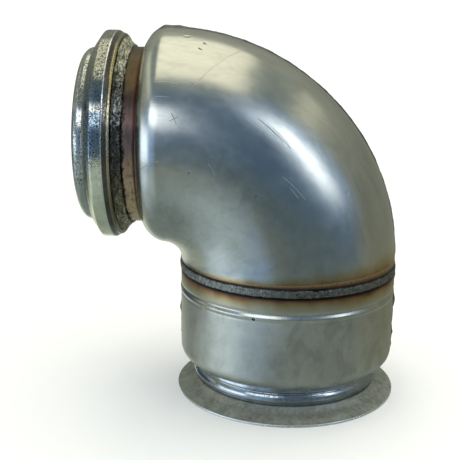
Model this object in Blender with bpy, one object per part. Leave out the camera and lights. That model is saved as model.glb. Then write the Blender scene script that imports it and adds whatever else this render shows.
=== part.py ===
"""Twin-wall stainless steel elbow with a flanged end on each leg.

A pressed outer casing, in two halves, bends through a right angle around a smaller gas liner.
The casing is welded to a straight cup, which narrows onto a two-step sleeve and a flared
clamp flange. The other leg narrows onto the bare liner, which carries a turned clamp flange.

Lengths are in millimetres until mesh_object() turns them into metres. +Z is up, the elbow
stands on its outlet flange, and the inlet points along -X. Shapes are written in duct
coordinates: s is the distance along the centreline from the outlet face, r is the radius
from the centreline, and t is the angle about it, zero on the outside of the bend.
"""

import math

import bmesh
import bpy

METRES = 0.001

# Sizes of the duct
BEND_RADIUS = 71.7            # of the centreline
BEND_START = 80.9             # height of the straight outlet leg
INLET_REACH = 119.2           # from the outlet's centreline to the inlet face
CASING_RADIUS = 63.5          # outside, at the outlet end
CASING_LEG_RADIUS = 62.5      # outside, at the inlet end
SHEET = 1.5                   # thickness of every pressed sheet
LINER_RADIUS = 50.8           # outside
LINER_END = 3.0               # height of the liner's lower edge
NECK_CLEARANCE = 0.7          # between the casing's mouth and the liner

# Shoulder where the casing narrows onto the neck of the inlet leg
SHOULDER_RADIUS = 14.0
SHOULDER_END = 84.2           # reach of its arc from the outlet's centreline

# Straight cup under the bend
WELD_BOTTOM = 75.0
WELD_TOP = 81.9
CUP_FLOOR = 19.5
CUP_FILLET = 8.0
BEAD_HEIGHT = 63.4
BEAD_PROUD = 0.35
GROOVE_HEIGHT = 66.8
GROOVE_DEPTH = 0.5
VENT_RADIUS = 0.9
VENT_HEIGHT = 62.5
VENT_ANGLE = -105.6           # degrees about the outlet axis, from +X

# Outlet sleeve and flange
SLEEVE_BOTTOM = 7.9
SLEEVE_TOP = 24.0
SLEEVE_RADIUS = 55.3
FLANGE_RADIUS = 65.55
FLANGE_RIM = 1.3
FLANGE_FACE_INNER = 56.5

# Inlet flange
NOSE_RADIUS = 50.3
NOSE_ROUND = 4.7
INLET_BORE = 42.4
CREST_RADIUS = 60.3
CREST_FRONT = 106.3
CREST_BACK = 101.4
FLANGE_BACK = 96.0
WELD_FOOT_RADIUS = 57.0

# Gaps and weld sizes
GAP = 0.3
SEAM_WIDTH = 1.8
SEAM_PROUD = 0.4
GIRTH_PROUD = 0.6
MAT_INNER = 52.0
MAT_OUTER = 60.4

# Facets
RING_STEPS = 40
HALF_STEPS = RING_STEPS // 2
MAT_STEPS = 12
BEND_STEPS = 12
ARC_STEPS = 4
SHOULDER_STEPS = 6

# Lengths that follow from these
BEND_END = BEND_START + BEND_RADIUS * math.pi / 2
OUTLET_X = (INLET_REACH - FLANGE_RADIUS) / 2    # centres the whole part over the origin


# Duct coordinates


def leg(distance):
    """The station s on the inlet leg at this distance from the outlet's centreline."""
    return BEND_END + distance - BEND_RADIUS


def place(s, across, side):
    """The point at station s, across millimetres towards the outside of the bend and side along Y."""
    turn = min(max((s - BEND_START) / BEND_RADIUS, 0.0), math.pi / 2)
    rise = min(s, BEND_START)
    run = max(s - BEND_END, 0.0)
    reach = BEND_RADIUS * (1 - math.cos(turn)) + run
    height = rise + BEND_RADIUS * math.sin(turn)
    return (
        OUTLET_X - reach + across * math.cos(turn),
        side,
        height + across * math.sin(turn),
    )


def around(s, r, t):
    return place(s, r * math.cos(t), r * math.sin(t))


def arc(centre_s, centre_r, radius, start, end, steps=ARC_STEPS):
    """Profile points on an arc. Angles are in degrees, zero along +s and 90 along +r."""
    angles = [math.radians(start + (end - start) * i / steps) for i in range(steps + 1)]
    return [(centre_s + radius * math.cos(a), centre_r + radius * math.sin(a)) for a in angles]


def spread(start, end, steps):
    return [start + (end - start) * i / steps for i in range(steps + 1)]


def offset(profile, distance):
    """The profile moved to its left, which is outwards on one that runs towards the inlet."""
    moved = []
    for i, (s, r) in enumerate(profile):
        before = profile[max(i - 1, 0)]
        after = profile[min(i + 1, len(profile) - 1)]
        normals = []
        for (s0, r0), (s1, r1) in ((before, (s, r)), ((s, r), after)):
            length = math.hypot(s1 - s0, r1 - r0)
            if length > 0:
                normals.append(((r0 - r1) / length, (s1 - s0) / length))
        n_s = sum(n[0] for n in normals)
        n_r = sum(n[1] for n in normals)
        size = math.hypot(n_s, n_r)
        mitre = 1 / (size / len(normals))
        moved.append((s + distance * mitre * n_s / size, r + distance * mitre * n_r / size))
    return moved


# Profiles that run towards the inlet, on the outside of the sheet


def casing_profile():
    start = WELD_TOP + GAP
    end = leg(SHOULDER_END - SHOULDER_RADIUS)
    taper = (CASING_LEG_RADIUS - CASING_RADIUS) / (end - start)
    bend = [(s, CASING_RADIUS + taper * (s - start)) for s in spread(start, end, BEND_STEPS)]
    centre = CASING_LEG_RADIUS - SHOULDER_RADIUS
    mouth = math.degrees(math.asin((LINER_RADIUS + NECK_CLEARANCE - centre) / SHOULDER_RADIUS))
    return bend + arc(end, centre, SHOULDER_RADIUS, 90, mouth, SHOULDER_STEPS)[1:]


def cup_profile():
    mouth = (CUP_FLOOR, SLEEVE_RADIUS + 0.15 + GAP)
    fillet = arc(CUP_FLOOR + CUP_FILLET, CASING_RADIUS - CUP_FILLET, CUP_FILLET, 175, 90)
    bead = [
        (BEAD_HEIGHT - 2.2, CASING_RADIUS),
        (BEAD_HEIGHT, CASING_RADIUS + BEAD_PROUD),
        (GROOVE_HEIGHT, CASING_RADIUS - GROOVE_DEPTH),
        (GROOVE_HEIGHT + 2.0, CASING_RADIUS),
    ]
    return [mouth] + fillet + bead + [(WELD_BOTTOM - GAP, CASING_RADIUS)]


def pipe_profile(start, end, radius):
    """One radius all the way, with stations where the pipe bends."""
    stations = [start] + spread(BEND_START, min(end, BEND_END), BEND_STEPS)
    if end > BEND_END:
        stations.append(end)
    return [(s, radius) for s in stations]


def liner_profile():
    return pipe_profile(LINER_END, leg(FLANGE_BACK - GAP), LINER_RADIUS)


# Meshes


def mesh_object(name, loops, closed, material):
    """Join each loop of points to the next. A closed run joins the last loop to the first, and any
    other run is capped at both ends."""
    mesh = bmesh.new()
    rings = [[mesh.verts.new([c * METRES for c in point]) for point in loop] for loop in loops]
    count = len(loops[0])
    for i in range(len(rings) if closed else len(rings) - 1):
        one = rings[i]
        two = rings[(i + 1) % len(rings)]
        for j in range(count):
            k = (j + 1) % count
            mesh.faces.new((one[j], one[k], two[k], two[j]))
    if not closed:
        half = count // 2
        for ring in (rings[0], rings[-1]):
            for j in range(half - 1):
                mesh.faces.new((ring[j], ring[j + 1], ring[count - 2 - j], ring[count - 1 - j]))
    bmesh.ops.recalc_face_normals(mesh, faces=mesh.faces)
    data = bpy.data.meshes.new(name)
    mesh.to_mesh(data)
    mesh.free()
    data.shade_smooth()
    data.set_sharp_from_angle(angle=math.radians(32))
    data.materials.append(material)
    thing = bpy.data.objects.new(name, data)
    bpy.context.scene.collection.objects.link(thing)
    return thing


def ring(name, profile, material):
    """A turned ring: a closed (s, r) outline carried right round the centreline."""
    turns = [2 * math.pi * i / RING_STEPS for i in range(RING_STEPS)]
    return mesh_object(name, [[around(s, r, t) for s, r in profile] for t in turns], True, material)


def half_sheet(name, outer, inner, edge, front, material, steps=HALF_STEPS):
    """Half of a round casing, cut off flat where |y| is edge. The front half has negative y."""
    outline = outer + inner[::-1]
    loops = []
    for i in range(steps + 1):
        loop = []
        for s, r in outline:
            first = math.asin(edge / r)
            t = first + (math.pi - 2 * first) * i / steps
            loop.append(around(s, r, -t if front else t))
        loops.append(loop)
    return mesh_object(name, loops, False, material)


def seam(name, outer, inner, outside, material):
    """The weld between two halves, on the outside or on the inside of the bend."""
    side = 1 if outside else -1
    half = SEAM_WIDTH / 2
    loops = []
    for (s_out, r_out), (s_in, r_in) in zip(outer, inner):
        loops.append([
            place(s_out, side * r_out, -half),
            place(s_out, side * r_out, half),
            place(s_in, side * r_in, half),
            place(s_in, side * r_in, -half),
        ])
    return mesh_object(name, loops, False, material)


def steel(name, colour, roughness, metallic=1.0):
    material = bpy.data.materials.new(name)
    material.use_nodes = True
    shader = material.node_tree.nodes["Principled BSDF"]
    shader.inputs["Base Color"].default_value = (*colour, 1.0)
    shader.inputs["Roughness"].default_value = roughness
    shader.inputs["Metallic"].default_value = metallic
    return material


# Pieces


def build_halves(name, profile, material):
    """The two pressed halves of a sheet piece, and nothing of its seams."""
    inner = offset(profile, -SHEET)
    edge = SEAM_WIDTH / 2 + GAP
    front = half_sheet(name + "_front_half", profile, inner, edge, True, material)
    half_sheet(name + "_back_half", profile, inner, edge, False, material)
    return front


def build_casing(satin, weld):
    casing = casing_profile()
    build_halves("elbow_casing", casing, satin)
    cup = cup_profile()
    cup_front = build_halves("cup_casing", cup, satin)
    drill_vent(cup_front)
    for name, profile in (("elbow", casing), ("cup", cup)):
        proud = offset(profile, SEAM_PROUD)
        root = offset(profile, 0.1 - SHEET)
        seam(name + "_outer_seam_weld", proud, root, True, weld)
        seam(name + "_inner_seam_weld", proud, root, False, weld)


def drill_vent(cup_front):
    """The small hole that lets air out from between the casing and the liner."""
    reach = CASING_RADIUS * METRES
    cutter_mesh = bmesh.new()
    bmesh.ops.create_cone(
        cutter_mesh, cap_ends=True, segments=8,
        radius1=VENT_RADIUS * METRES, radius2=VENT_RADIUS * METRES, depth=4 * SHEET * METRES,
    )
    data = bpy.data.meshes.new("vent_cutter")
    cutter_mesh.to_mesh(data)
    cutter_mesh.free()
    cutter = bpy.data.objects.new("vent_cutter", data)
    bpy.context.scene.collection.objects.link(cutter)
    turn = math.radians(VENT_ANGLE)
    cutter.location = (
        OUTLET_X * METRES + reach * math.cos(turn),
        reach * math.sin(turn),
        VENT_HEIGHT * METRES,
    )
    cutter.rotation_euler = (0.0, math.pi / 2, turn)
    cutter.hide_render = True
    cutter.display_type = "WIRE"
    cut = cup_front.modifiers.new("vent", "BOOLEAN")
    cut.operation = "DIFFERENCE"
    cut.solver = "EXACT"
    cut.object = cutter


def build_girth_weld(weld):
    inner = CASING_RADIUS - SHEET + 0.1
    outer = CASING_RADIUS + GIRTH_PROUD
    ring("girth_weld", [
        (WELD_BOTTOM, inner),
        (WELD_BOTTOM, outer - 0.4),
        (WELD_BOTTOM + 1.4, outer),
        (WELD_TOP - 1.4, outer),
        (WELD_TOP, outer - 0.4),
        (WELD_TOP, inner),
    ], weld)


def build_liner(satin, weld):
    liner = liner_profile()
    build_halves("liner", liner, satin)
    inside = offset(liner, -SHEET - 0.3)
    seam("liner_outer_seam_weld", liner, inside, True, weld)
    seam("liner_inner_seam_weld", liner, inside, False, weld)


def build_insulation(fibre):
    start = CUP_FLOOR + CUP_FILLET + 2.5
    end = leg(SHOULDER_END - SHOULDER_RADIUS - 2.0)
    outer = pipe_profile(start, end, MAT_OUTER)
    inner = pipe_profile(start, end, MAT_INNER)
    half_sheet("insulation_front_half", outer, inner, GAP, True, fibre, MAT_STEPS)
    half_sheet("insulation_back_half", outer, inner, GAP, False, fibre, MAT_STEPS)


def build_outlet(turned, satin, weld):
    bore = LINER_RADIUS + GAP
    top = SLEEVE_BOTTOM - GAP
    ring("outlet_sleeve", [
        (SLEEVE_BOTTOM, bore),
        (SLEEVE_BOTTOM, SLEEVE_RADIUS - 1.1),
        (SLEEVE_BOTTOM + 1.3, SLEEVE_RADIUS - 0.2),
        (SLEEVE_BOTTOM + 3.8, SLEEVE_RADIUS + 0.35),
        (SLEEVE_BOTTOM + 6.4, SLEEVE_RADIUS - 0.1),
        (SLEEVE_BOTTOM + 7.7, SLEEVE_RADIUS - 0.9),
        (SLEEVE_BOTTOM + 9.0, SLEEVE_RADIUS - 0.1),
        (SLEEVE_BOTTOM + 11.0, SLEEVE_RADIUS + 0.1),
        (SLEEVE_TOP, SLEEVE_RADIUS),
        (SLEEVE_TOP, bore),
    ], turned)
    ring("outlet_flange", [
        (0.0, FLANGE_FACE_INNER),
        (0.0, FLANGE_RADIUS - 0.4),
        (0.3, FLANGE_RADIUS),
        (FLANGE_RIM, FLANGE_RADIUS),
        (FLANGE_RIM + 0.3, FLANGE_RADIUS - 0.4),
        (top, SLEEVE_RADIUS - 0.9),
        (top, bore),
        (LINER_END - 0.2, bore),
    ], satin)
    root = LINER_END - GAP
    ring("outlet_root_weld", [
        (root, LINER_RADIUS - SHEET + 0.1),
        (root, LINER_RADIUS - 0.1),
        (root - 1.1, LINER_RADIUS + 2.0),
        (root - 1.6, LINER_RADIUS + 1.5),
        (root - 1.0, LINER_RADIUS - 0.8),
    ], weld)


def build_inlet(turned, weld):
    nose = arc(
        leg(INLET_REACH - NOSE_ROUND), NOSE_RADIUS - NOSE_ROUND, NOSE_ROUND, 0, 90
    )
    liner_bore = LINER_RADIUS - SHEET
    ring("inlet_flange", nose + [
        (leg(INLET_REACH - 5.5), NOSE_RADIUS),
        (leg(INLET_REACH - 6.0), NOSE_RADIUS + 1.4),
        (leg(INLET_REACH - 8.5), NOSE_RADIUS + 5.5),
        (leg(CREST_FRONT + 0.6), CREST_RADIUS - 0.6),
        (leg(CREST_FRONT), CREST_RADIUS),
        (leg(CREST_BACK), CREST_RADIUS),
        (leg(CREST_BACK - 2.8), CREST_RADIUS - 0.4),
        (leg(FLANGE_BACK + 0.6), CREST_RADIUS - 2.6),
        (leg(FLANGE_BACK), WELD_FOOT_RADIUS),
        (leg(FLANGE_BACK), liner_bore),
        (leg(INLET_REACH - 10.0), INLET_BORE + 1.2),
        (leg(INLET_REACH), INLET_BORE),
    ], turned)
    foot = FLANGE_BACK - GAP
    bore = LINER_RADIUS + GAP
    ring("inlet_flange_weld", [
        (leg(foot), bore),
        (leg(foot), WELD_FOOT_RADIUS - 0.2),
        (leg(foot - 1.1), WELD_FOOT_RADIUS - 2.4),
        (leg(foot - 3.0), LINER_RADIUS + 1.9),
        (leg(foot - 4.8), bore),
    ], weld)


def build():
    satin = steel("satin_stainless", (0.46, 0.47, 0.44), 0.34)
    turned = steel("turned_stainless", (0.56, 0.58, 0.60), 0.2)
    weld = steel("weld_metal", (0.12, 0.12, 0.12), 0.6)
    fibre = steel("mineral_fibre", (0.55, 0.52, 0.42), 0.95, 0.0)
    build_liner(satin, weld)
    build_insulation(fibre)
    build_casing(satin, weld)
    build_girth_weld(weld)
    build_outlet(turned, satin, weld)
    build_inlet(turned, weld)


for old in list(bpy.data.objects):
    bpy.data.objects.remove(old, do_unlink=True)
build()
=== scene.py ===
"""Looks of the twin-wall steel elbow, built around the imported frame.

Shapes are in millimetres and in duct coordinates: s is the distance along the centreline from
the outlet face, r the radius from the centreline, and t the angle about it, zero on the outside
of the bend. place() turns them into points of the row frame, in metres.
"""
import math

import bmesh
import bpy
import numpy as np
from mathutils import Matrix, Vector


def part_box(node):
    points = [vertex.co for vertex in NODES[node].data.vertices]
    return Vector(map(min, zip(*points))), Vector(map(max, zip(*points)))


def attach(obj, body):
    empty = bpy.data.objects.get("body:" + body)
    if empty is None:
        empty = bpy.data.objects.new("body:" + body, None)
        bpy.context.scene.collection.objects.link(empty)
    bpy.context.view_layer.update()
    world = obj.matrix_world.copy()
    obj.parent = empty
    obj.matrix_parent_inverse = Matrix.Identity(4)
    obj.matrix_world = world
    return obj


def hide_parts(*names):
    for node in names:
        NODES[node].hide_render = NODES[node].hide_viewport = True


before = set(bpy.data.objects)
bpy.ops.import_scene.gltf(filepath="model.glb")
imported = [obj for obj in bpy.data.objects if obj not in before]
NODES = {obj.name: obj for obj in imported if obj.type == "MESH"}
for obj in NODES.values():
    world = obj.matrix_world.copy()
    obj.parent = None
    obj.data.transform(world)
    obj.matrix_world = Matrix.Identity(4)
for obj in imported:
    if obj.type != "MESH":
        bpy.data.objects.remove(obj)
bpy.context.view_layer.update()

MM = 0.001


def span(node, axis):
    """Lowest and highest millimetre of a CAD node along an axis."""
    low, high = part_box(node)
    return low[axis] / MM, high[axis] / MM


# Sizes read from the frame
WELD_BOTTOM, WELD_TOP = span("girth_weld", 2)
FLANGE_RADIUS = np.ptp(span("outlet_flange", 1)) / 2
OUTLET_X = sum(span("outlet_flange", 0)) / 2
LEG_HEIGHT = sum(span("inlet_flange", 2)) / 2
CREST_RADIUS = np.ptp(span("inlet_flange", 1)) / 2
INLET_REACH = OUTLET_X - span("inlet_flange", 0)[0]
FLANGE_BACK = OUTLET_X - span("inlet_flange", 0)[1]
LINER_RADIUS = -span("liner_front_half", 1)[0]
SLEEVE_BOTTOM, SLEEVE_TOP = span("outlet_sleeve", 2)
CUP_FLOOR = span("cup_casing_front_half", 2)[0]

# Sizes that the frame's boxes don't give
BEND_RADIUS = 71.7
BEND_START = LEG_HEIGHT - BEND_RADIUS
BEND_END = BEND_START + BEND_RADIUS * math.pi / 2
CASING_RADIUS = 63.5
CASING_LEG_RADIUS = 62.5
SHEET = 1.5
LINER_END = 3.0
SHOULDER_RADIUS = 14.0
SHOULDER_END = 84.2            # where the shoulder meets the neck, from the outlet's centreline
MOUTH_CLEARANCE = 0.5
CUP_FILLET = 8.0
SLEEVE_RADIUS = 55.3
NOSE_RADIUS = 50.3
NOSE_ROUND = 4.7
NOSE_LENGTH = 6.3
INLET_BORE = 42.4
CREST_FRONT = 106.3            # the crest's front and back edges, from the outlet's centreline
CREST_EDGE = 100.2
WELD_FOOT_RADIUS = 57.0        # the flange weld's largest radius and its length along the neck
FLANGE_WELD_LENGTH = 5.2
FLARE_BORE = 56.5
WELD_CREST = 80.4              # where the girth weld's grain stops and its smooth toe starts
WELD_HEIGHT = 0.55             # how far that crown stands out of the casing
GAP = 0.05                     # what touching pieces keep between them
CLEARANCE = 0.1                # how far hidden faces stay off their neighbours
SEAM_ROOT = 0.9                # half the width of a seam's root
SEAM_CROWN = 1.7               # half the width of its crown
SHADED_RADIUS = 58.0           # how far shading reaches either side of the centreline
VENT_S = 62.1
VENT_TURN = -105.6
VENT_RADIUS = 0.95
VENT_CUT = 8.0                 # the length of its cutter

# The cup's rolled bead and its grooves, each (s, height, width), and where rolling polished it
ROLLED_BEAD = [(62.9, 0.44, 1.0), (65.5, -0.42, 1.0), (60.9, -0.15, 0.5)]
POLISHED = (60.4, 66.6)

# Scratches and spots, each from (s, t in degrees) to (s, t)
ELBOW_SCRATCHES = [
    ((186.3, -69.2), (183.6, -74.1)), ((186.6, -72.8), (183.5, -70.4)),
    ((200.6, -98.1), (197.2, -95.4)), ((197.2, -95.4), (194.7, -94.9)), ((194.7, -94.9), (190.8, -92.8)),
    ((154.5, -57.0), (138.9, -58.5)), ((152.7, -57.2), (142.0, -59.1)),
    ((132.9, -71.1), (120.1, -68.7)), ((127.5, -71.9), (122.0, -71.2)),
]
FAINT_SCRATCHES = [
    ((179.7, -52.6), (169.4, -20.9)), ((150.8, -58.6), (143.4, -59.9)), ((149.0, -56.6), (140.2, -57.6)),
    ((164.0, -88.0), (158.5, -91.5)), ((120.4, -104.0), (112.6, -101.0)),
]
ELBOW_SPOTS = [((172.4, -95.9), (171.8, -95.6)), ((134.8, -87.1), (134.4, -86.8))]
# Painted shade in three of the dents, as short dark strokes
ELBOW_DENT_SHADE = [((180.6, -22.4), (180.0, -23.2)), ((181.6, -28.2), (180.7, -29.2)),
               ((186.9, -18.6), (185.6, -18.0))]
CUP_SCRATCHES = [((58.6, -75.0), (52.3, -75.3)), ((58.3, -74.9), (55.0, -75.2))]
WELD_NOTCH = [((80.5, -78.5), (80.1, -69.0)), ((80.0, -76.5), (79.5, -74.0))]

# Dents, each (s, t in degrees, radius, depth)
ELBOW_DENTS = [(186.2, -18.3, 0.9, 0.30), (180.3, -22.8, 0.8, 0.28), (181.2, -28.6, 1.0, 0.30),
               (172.2, -95.8, 0.9, 0.10), (134.6, -87.0, 1.0, 0.10), (113.2, -46.6, 0.7, 0.15)]
CUP_DENTS = [(44.0, -118.0, 5.0, 0.10), (38.0, -62.0, 7.0, 0.10)]

# Lumps along the casing's seams, each (s, height, length)
ELBOW_OUTER_LUMPS = [(194.6, 1.0, 2.6), (189.9, 0.7, 1.8)]
ELBOW_INNER_LUMPS = [(107.8, 0.9, 2.2)]
CUP_OUTER_LUMPS = [(56.0, 0.8, 3.4), (35.5, 0.7, 2.0), (72.0, 0.6, 2.4)]
CUP_INNER_LUMPS = [(47.0, 0.8, 3.0)]


# Shapes


def leg(distance):
    """The station at this distance from the outlet's centreline, on the inlet's leg."""
    return BEND_END + distance - BEND_RADIUS


def place(s, across, side):
    """Points in metres at stations s, across towards the outside of the bend and side along Y."""
    turn = np.clip((s - BEND_START) / BEND_RADIUS, 0.0, math.pi / 2)
    reach = BEND_RADIUS * (1 - np.cos(turn)) + np.maximum(s - BEND_END, 0.0)
    height = np.minimum(s, BEND_START) + BEND_RADIUS * np.sin(turn)
    x = OUTLET_X - reach + across * np.cos(turn)
    z = height + across * np.sin(turn)
    return np.stack([x, side + 0 * x, z], axis=-1) * MM


def duct_of(points):
    """The straightened duct's coordinates of points, in metres: r cos t, r sin t and s."""
    x, y, z = (points / MM).T
    across_x = x - OUTLET_X + BEND_RADIUS
    rise = z - BEND_START
    turn = np.arctan2(rise, across_x)
    s = np.where(rise <= 0, z, BEND_START + BEND_RADIUS * turn)
    across = np.where(rise <= 0, x - OUTLET_X, np.hypot(rise, across_x) - BEND_RADIUS)
    past = (across_x <= 0) & (rise > 0)
    s = np.where(past, BEND_END - across_x, s)
    across = np.where(past, rise - BEND_RADIUS, across)
    return np.stack([across, y, s], axis=-1) * MM


def arc(centre_s, centre_r, radius, start, end, steps):
    angles = np.radians(np.linspace(start, end, steps + 1))
    return [(centre_s + radius * math.cos(a), centre_r + radius * math.sin(a)) for a in angles]


def offset(profile, distance):
    """The profile moved to its left, which is outwards on one that runs towards the inlet."""
    p = np.array(profile, float)
    d = np.gradient(p, axis=0)
    d /= np.linalg.norm(d, axis=1)[:, None]
    return p + distance * np.stack([-d[:, 1], d[:, 0]], axis=-1)


def rounded(corners, radius, steps=4):
    """A closed outline with rounded corners. A corner's third number is its own radius."""
    out = []
    count = len(corners)
    for i, corner in enumerate(corners):
        p = np.array(corner[:2], float)
        r = corner[2] if len(corner) > 2 else radius
        before = np.array(corners[i - 1][:2], float) - p
        after = np.array(corners[(i + 1) % count][:2], float) - p
        b = np.linalg.norm(before)
        a = np.linalg.norm(after)
        cut = min(r, 0.45 * b, 0.45 * a)
        one = p + before / b * cut
        two = p + after / a * cut
        for k in range(steps + 1):
            u = k / steps
            out.append((1 - u) ** 2 * one + 2 * u * (1 - u) * p + u * u * two)
    return np.array(out)


def dense(outline, step):
    """A closed outline with no two points further apart than step."""
    out = []
    for i, p in enumerate(outline):
        q = outline[(i + 1) % len(outline)]
        parts = max(1, int(math.ceil(np.linalg.norm(q - p) / step)))
        out += [p + (q - p) * k / parts for k in range(parts)]
    return np.array(out)


def waves(points, size, seed, count=14):
    """A smooth random height at each point, about -1 to 1, with bumps of about this size."""
    rng = np.random.default_rng(seed)
    total = np.zeros(len(points))
    for _ in range(count):
        direction = rng.normal(size=3)
        direction /= np.linalg.norm(direction)
        length = size * rng.uniform(0.7, 2.2)
        total += np.sin(points @ direction * (2 * math.pi / length) + rng.uniform(0, 2 * math.pi))
    return total / math.sqrt(count)


def add_object(name, mesh):
    """An object in the scene, made from a bmesh."""
    data = bpy.data.meshes.new(name)
    mesh.to_mesh(data)
    mesh.free()
    thing = bpy.data.objects.new(name, data)
    bpy.context.scene.collection.objects.link(thing)
    return thing


def coat(data, material):
    """Gives a mesh its one material, and the duct coordinates that the material reads."""
    co = np.zeros(len(data.vertices) * 3)
    data.vertices.foreach_get("co", co)
    if "duct" in data.attributes:
        data.attributes.remove(data.attributes["duct"])
    attribute = data.attributes.new("duct", "FLOAT_VECTOR", "POINT")
    attribute.data.foreach_set("vector", duct_of(co.reshape(-1, 3)).astype(np.float32).ravel())
    data.materials.clear()
    data.materials.append(material)


def piece(name, points, wrap, replaced, material, lids=False, smooth=32):
    """A mesh from a grid of closed loops of points. wrap joins the last loop to the first."""
    loops, count = points.shape[:2]
    mesh = bmesh.new()
    verts = [mesh.verts.new(p) for p in points.reshape(-1, 3)]
    for i in range(loops if wrap else loops - 1):
        one = i * count
        two = (i + 1) % loops * count
        for j in range(count):
            k = (j + 1) % count
            mesh.faces.new((verts[one + j], verts[one + k], verts[two + k], verts[two + j]))
    if lids:
        mesh.faces.new(verts[:count])
        mesh.faces.new(verts[-count:])
    bmesh.ops.recalc_face_normals(mesh, faces=mesh.faces)
    if lids:
        bmesh.ops.triangulate(mesh, faces=[f for f in mesh.faces if len(f.verts) > 4])
    thing = add_object(name, mesh)
    thing.data.shade_smooth()
    thing.data.set_sharp_from_angle(angle=math.radians(smooth))
    coat(thing.data, material)
    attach(thing, "root")
    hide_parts(replaced)
    return thing


def swept(outline, t, warp):
    """Points of an (s, r) outline carried round the angles t. warp gives extra stations and radii."""
    s = outline[None, :, 0] + 0 * t
    r = outline[None, :, 1] + 0 * t
    if warp:
        flat = np.stack([r * np.cos(t), r * np.sin(t), s], axis=-1).reshape(-1, 3)
        ds, dr = warp(flat)
        s = s + ds.reshape(s.shape)
        r = r + dr.reshape(r.shape)
    return place(s, r * np.cos(t), r * np.sin(t))


def turned(name, outline, steps, replaced, material, warp=None, smooth=32):
    """A ring: a closed outline carried right round."""
    t = np.linspace(0, 2 * math.pi, steps, endpoint=False)[:, None]
    return piece(name, swept(outline, t, warp), True, replaced, material, smooth=smooth)


def half(name, outer, inner, front, steps, material, warp=None):
    """Half of a tube, cut off flat beside the seam."""
    outline = np.concatenate([outer, inner[::-1]])
    first = np.arcsin((SEAM_ROOT + GAP) / outline[:, 1])
    u = np.linspace(0, 1, steps + 1)[:, None]
    t = first + (math.pi - 2 * first) * u
    t = -t if front else t
    return piece(name, swept(outline, t, warp), False, name + "_half", material, lids=True)


def seam(name, outer, inner, outside, crown, sag, lumps, seed, material):
    """A seam weld: a root between two halves, a crown over them and a sag inside."""
    side = 1 if outside else -1
    stations = np.linspace(0, 1, 6 * len(outer))
    line = np.linspace(0, 1, len(outer))
    s_out, r_out = (np.interp(stations, line, outer[:, k]) for k in (0, 1))
    s_in, r_in = (np.interp(stations, line, inner[:, k]) for k in (0, 1))
    along = np.stack([s_out, 0 * s_out, 0 * s_out], axis=-1)
    ripple = waves(along, 2.4, seed)
    slow = waves(along, 14.0, seed + 1)
    height = crown * (1 + 0.22 * ripple + 0.25 * slow)
    width = SEAM_CROWN * (1 + 0.10 * ripple + 0.16 * slow)
    for at, size, length in lumps:
        swell = np.exp(-((s_out - at) / length) ** 2)
        height = height + size * swell
        width = width * (1 + 0.5 * swell)
    top = np.linspace(-1, 1, 11)
    low = np.linspace(0.6, -0.6, 4)
    root = [0.0, GAP / 2]
    loops = []
    for i in range(len(stations)):
        arch = GAP / 2 + max(height[i], 0.05) * (1 - top ** 2)
        up = np.concatenate([root, arch, root[::-1]])
        y = np.concatenate([[-SEAM_ROOT] * 2, top * width[i], [SEAM_ROOT] * 2])
        across = np.sqrt((r_out[i] + up) ** 2 - y ** 2)
        across[0] = across[-1] = r_in[i]
        s = np.full(len(y), s_out[i])
        s[0] = s[-1] = s_in[i]
        y = np.concatenate([y, low])
        across = np.concatenate([across, r_in[i] - sag * (1 - low ** 2) * (1 + 0.3 * ripple[i])])
        s = np.concatenate([s, np.full(len(low), s_in[i])])
        loops.append(place(s, side * across, y))
    return piece(name, np.array(loops), False, name + "_weld", material, lids=True, smooth=60)


# Materials. A noise's scale is per metre, and a bump's depth is in metres.


def scaled(colour, factor):
    return tuple(c * factor for c in colour)


def spread(colours):
    """Colours as the stops of a ramp, at even steps."""
    return [(i / (len(colours) - 1), colour) for i, colour in enumerate(colours)]


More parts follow.
